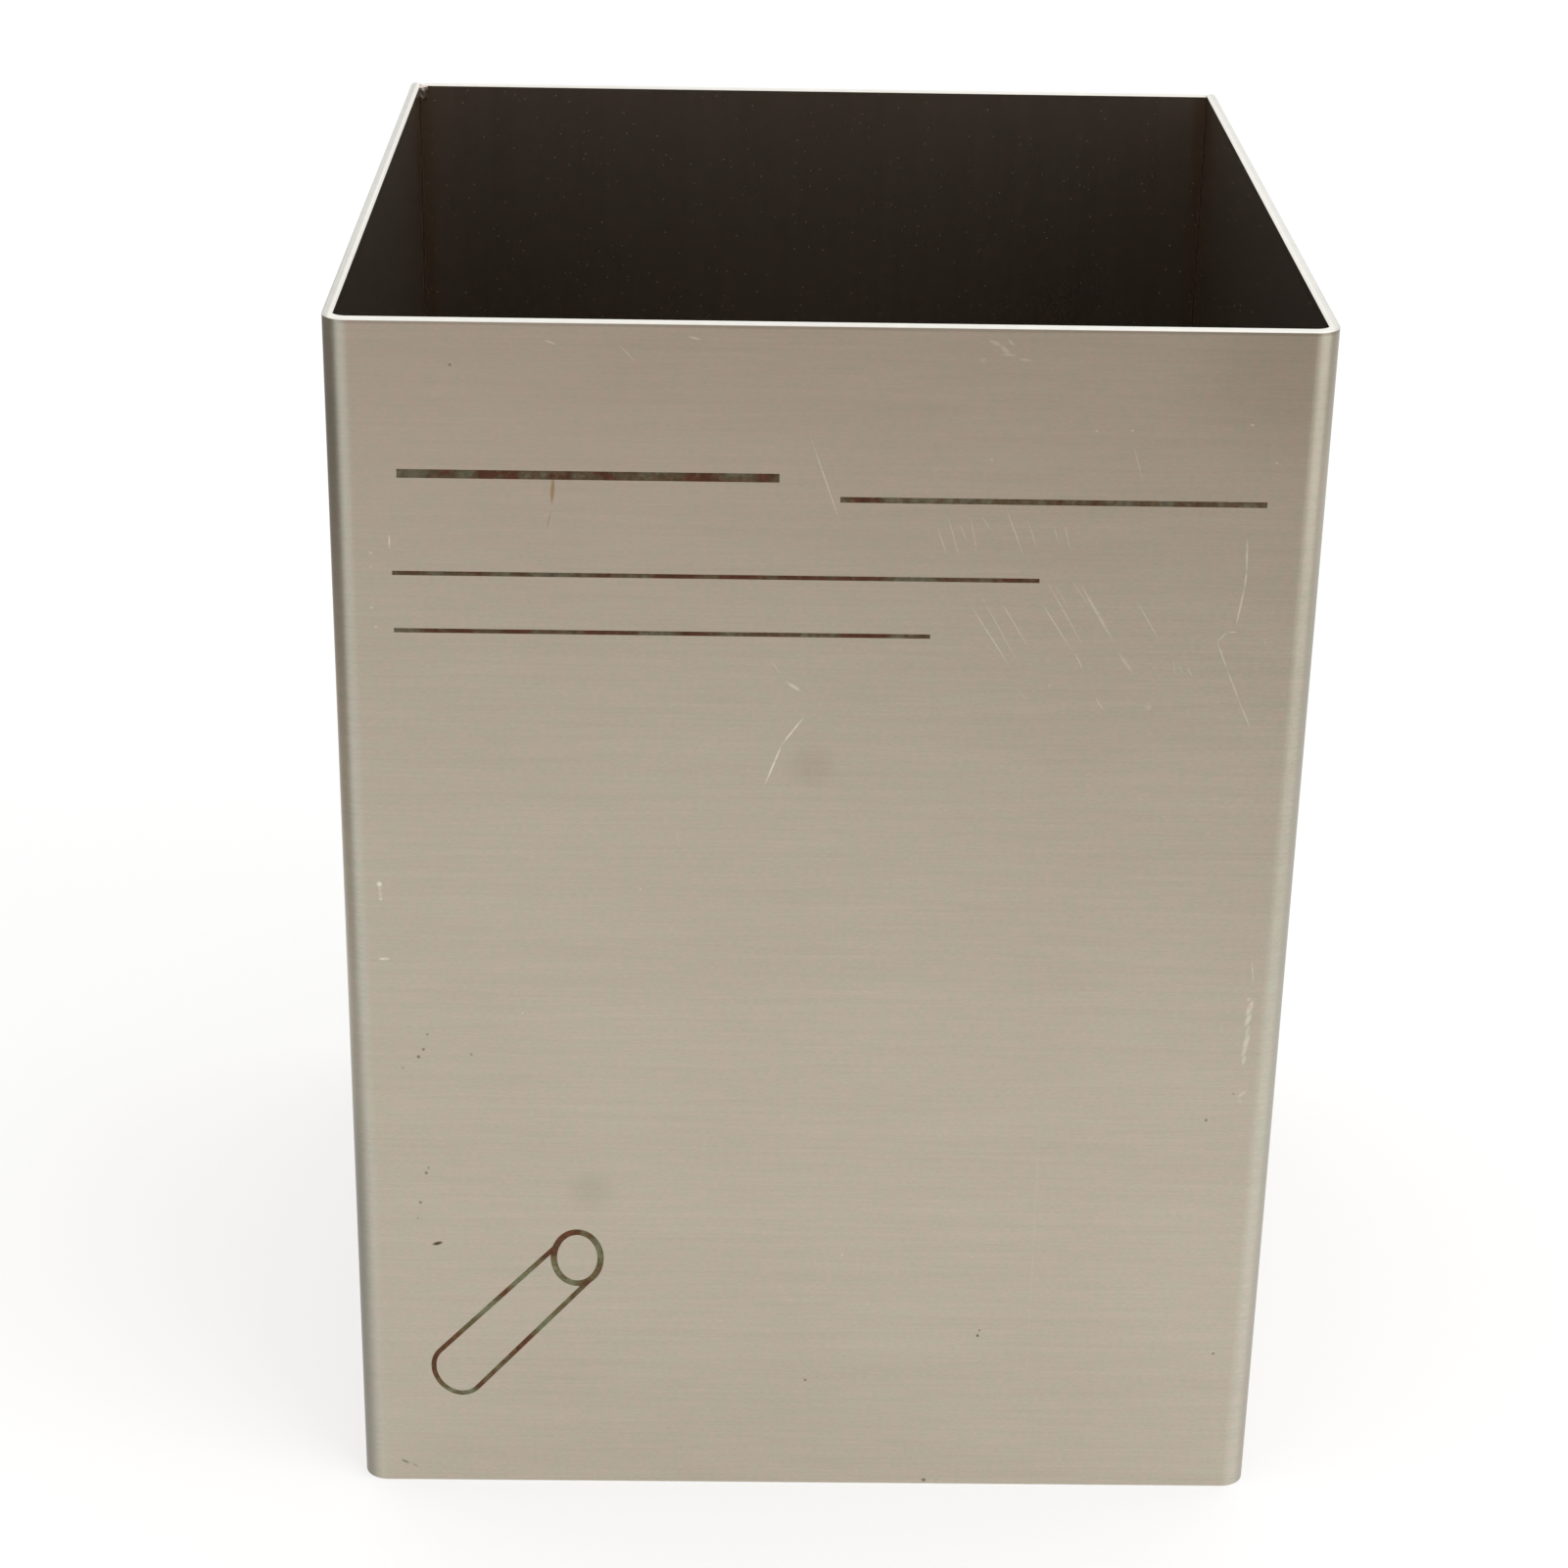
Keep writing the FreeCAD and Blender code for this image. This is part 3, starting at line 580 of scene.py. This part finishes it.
# Metres. SKY_TOWARDS is where the sky is brightest, and SKY_FADE how much of that way it turns from dim to
# bright. The camera is the one fitted to the photo, its turn in degrees and its lens in millimetres.
FLOOR_REACH = 6.0
LAMP_PLACE, LAMP_TARGET, LAMP_SIZE, LAMP_WATTS = (0.62, -0.52, 0.33), (0.0, 0.0, 0.07), (0.8, 0.7), 3.4
SKY_TOWARDS, SKY_FADE = (-0.28, 0.43, 0.86), (-0.55, 0.45)
EYE, YAW, PITCH, ROLL = (-0.010449, -0.411760, 0.256439), 0.9925, 24.275, 1.071
FOCAL, SENSOR = 78.865, 36.0


def painted_floor_light(s):
    """Painted light on the paper: white in a soft painted pool of light around and behind the part, and
    painted darker further off in front and beside it.
    """
    wide = s.math("MULTIPLY_ADD", s.y, -0.22, s.math("ABSOLUTE", s.x))
    left = s.step(s.math("MULTIPLY_ADD", s.x, -0.5, s.y), -160.0, 40.0)
    right = s.step(s.math("MULTIPLY_ADD", s.x, 0.1, s.y), 0.0, 330.0, 0.0, 0.35)
    either_side = s.blend(s.math("GREATER_THAN", s.x, 0.0), left, right)
    beside = s.math("MULTIPLY", s.step(wide, 112.0, 240.0), either_side)
    across, ahead = s.math("MAXIMUM", wide, 0.0), s.math("MINIMUM", s.y, 0.0)
    away = s.math("SQRT", s.math("MULTIPLY_ADD", across, across, s.math("MULTIPLY", ahead, ahead)))
    away = s.math("MULTIPLY_ADD", s.x, s.step(s.y, 50.0, -400.0, 0.0, 1.4), away)
    far = s.math("MAXIMUM", beside, s.step(away, 230.0, 690.0))
    return s.mix(far, PLAIN, FAR_PAINTED_SHADE)


def floor():
    """A pale sheet of paper that the part stands on."""
    mesh = bpy.data.meshes.new("floor")
    corners = [(x * FLOOR_REACH, y * FLOOR_REACH, 0.0) for x, y in ((-1, -1), (1, -1), (1, 1), (-1, 1))]
    mesh.from_pydata(corners, [], [(0, 1, 2, 3)])
    plane = bpy.data.objects.new("floor", mesh)
    bpy.context.scene.collection.objects.link(plane)
    s = Shader("floor_paper")
    # The paper's colour is a painted pool of light, darker further off.
    colour = painted_floor_light(s)
    s.set(Base_Color=colour, Roughness=0.9, Specular_IOR_Level=0.1)

    # Half of what the eye, metal and glass see is the paper's own colour, glowing with its painted pool of
    # light: the shadow stays but is light.
    seen = s.node("ShaderNodeLightPath").outputs
    direct = s.widest([seen["Is Camera Ray"], seen["Is Glossy Ray"], seen["Is Transmission Ray"]])
    white = s.node("ShaderNodeEmission")
    s.put(white.inputs["Color"], colour)
    either = s.node("ShaderNodeMixShader")
    s.put(either.inputs[0], s.math("MULTIPLY", direct, 0.5))
    s.put(either.inputs[1], s.surface.outputs["BSDF"])
    s.put(either.inputs[2], white.outputs["Emission"])
    s.put(s.output.inputs["Surface"], either.outputs["Shader"])
    mesh.materials.append(s.material)


def softbox():
    """One soft lamp, in front and to the right."""
    lamp = bpy.data.lights.new("side_softbox", "AREA")
    lamp.shape = "RECTANGLE"
    lamp.size, lamp.size_y = LAMP_SIZE
    lamp.energy = LAMP_WATTS
    holder = bpy.data.objects.new("side_softbox", lamp)
    bpy.context.scene.collection.objects.link(holder)
    turn = (Vector(LAMP_TARGET) - Vector(LAMP_PLACE)).to_track_quat("-Z", "Y").to_matrix().to_4x4()
    holder.matrix_world = Matrix.Translation(LAMP_PLACE) @ turn


def world():
    """Soft light from above and behind, dimmer and a little warmer low down in front."""
    sky = bpy.data.worlds.new("studio")
    bpy.context.scene.world = sky
    sky.use_nodes = True
    tree = sky.node_tree
    tree.nodes.clear()
    place = tree.nodes.new("ShaderNodeTexCoord")
    lean = tree.nodes.new("ShaderNodeVectorMath")
    lean.operation = "DOT_PRODUCT"
    lean.inputs[1].default_value = Vector(SKY_TOWARDS).normalized()
    ramp = tree.nodes.new("ShaderNodeMapRange")
    ramp.interpolation_type = "SMOOTHSTEP"
    ramp.inputs["From Min"].default_value, ramp.inputs["From Max"].default_value = SKY_FADE
    tone = tree.nodes.new("ShaderNodeMix")
    tone.data_type = "RGBA"
    tone.inputs[6].default_value = (*SKY_DIM, 1.0)
    tone.inputs[7].default_value = (*SKY_BRIGHT, 1.0)
    light = tree.nodes.new("ShaderNodeBackground")
    output = tree.nodes.new("ShaderNodeOutputWorld")
    tree.links.new(place.outputs["Generated"], lean.inputs[0])
    tree.links.new(lean.outputs["Value"], ramp.inputs["Value"])
    tree.links.new(ramp.outputs["Result"], tone.inputs[0])
    tree.links.new(tone.outputs[2], light.inputs["Color"])
    tree.links.new(light.outputs["Background"], output.inputs["Surface"])


def camera():
    """The camera at the photograph's viewing angle."""
    yaw, pitch, roll = (math.radians(v) for v in (YAW, PITCH, ROLL))
    forward = Vector((math.sin(yaw) * math.cos(pitch), math.cos(yaw) * math.cos(pitch), -math.sin(pitch)))
    level = Vector((math.cos(yaw), -math.sin(yaw), 0.0))
    above = level.cross(forward)
    right = level * math.cos(roll) + above * math.sin(roll)
    up = above * math.cos(roll) - level * math.sin(roll)
    lens = bpy.data.cameras.new("camera")
    lens.lens, lens.sensor_width, lens.sensor_fit = FOCAL, SENSOR, "HORIZONTAL"
    lens.clip_start, lens.clip_end = 0.01, 50.0
    eye = bpy.data.objects.new("camera", lens)
    bpy.context.scene.collection.objects.link(eye)
    turn = Matrix((right, up, -forward)).transposed().to_4x4()
    eye.matrix_world = Matrix.Translation(EYE) @ turn
    bpy.context.scene.camera = eye


# ---------------------------------------------------------------- the dressed part on its stage

FINISHES = {
    "brushed_sheet": brushed_sheet(),
    "mill_sheet": mill_sheet(),
    "ground_weld": ground_weld(),
    "raw_weld": raw_weld(),
}
ETCHED = etched()
for subpart in frame["record"]["subparts"]:
    frame["nodes"][subpart["node"]].data.materials[0] = FINISHES[subpart["material_slot"]]

straw_mark()
rules()
floor()
world()
softbox()
camera()
bpy.context.scene.view_settings.view_transform = "Standard"

bpy.context.view_layer.update()
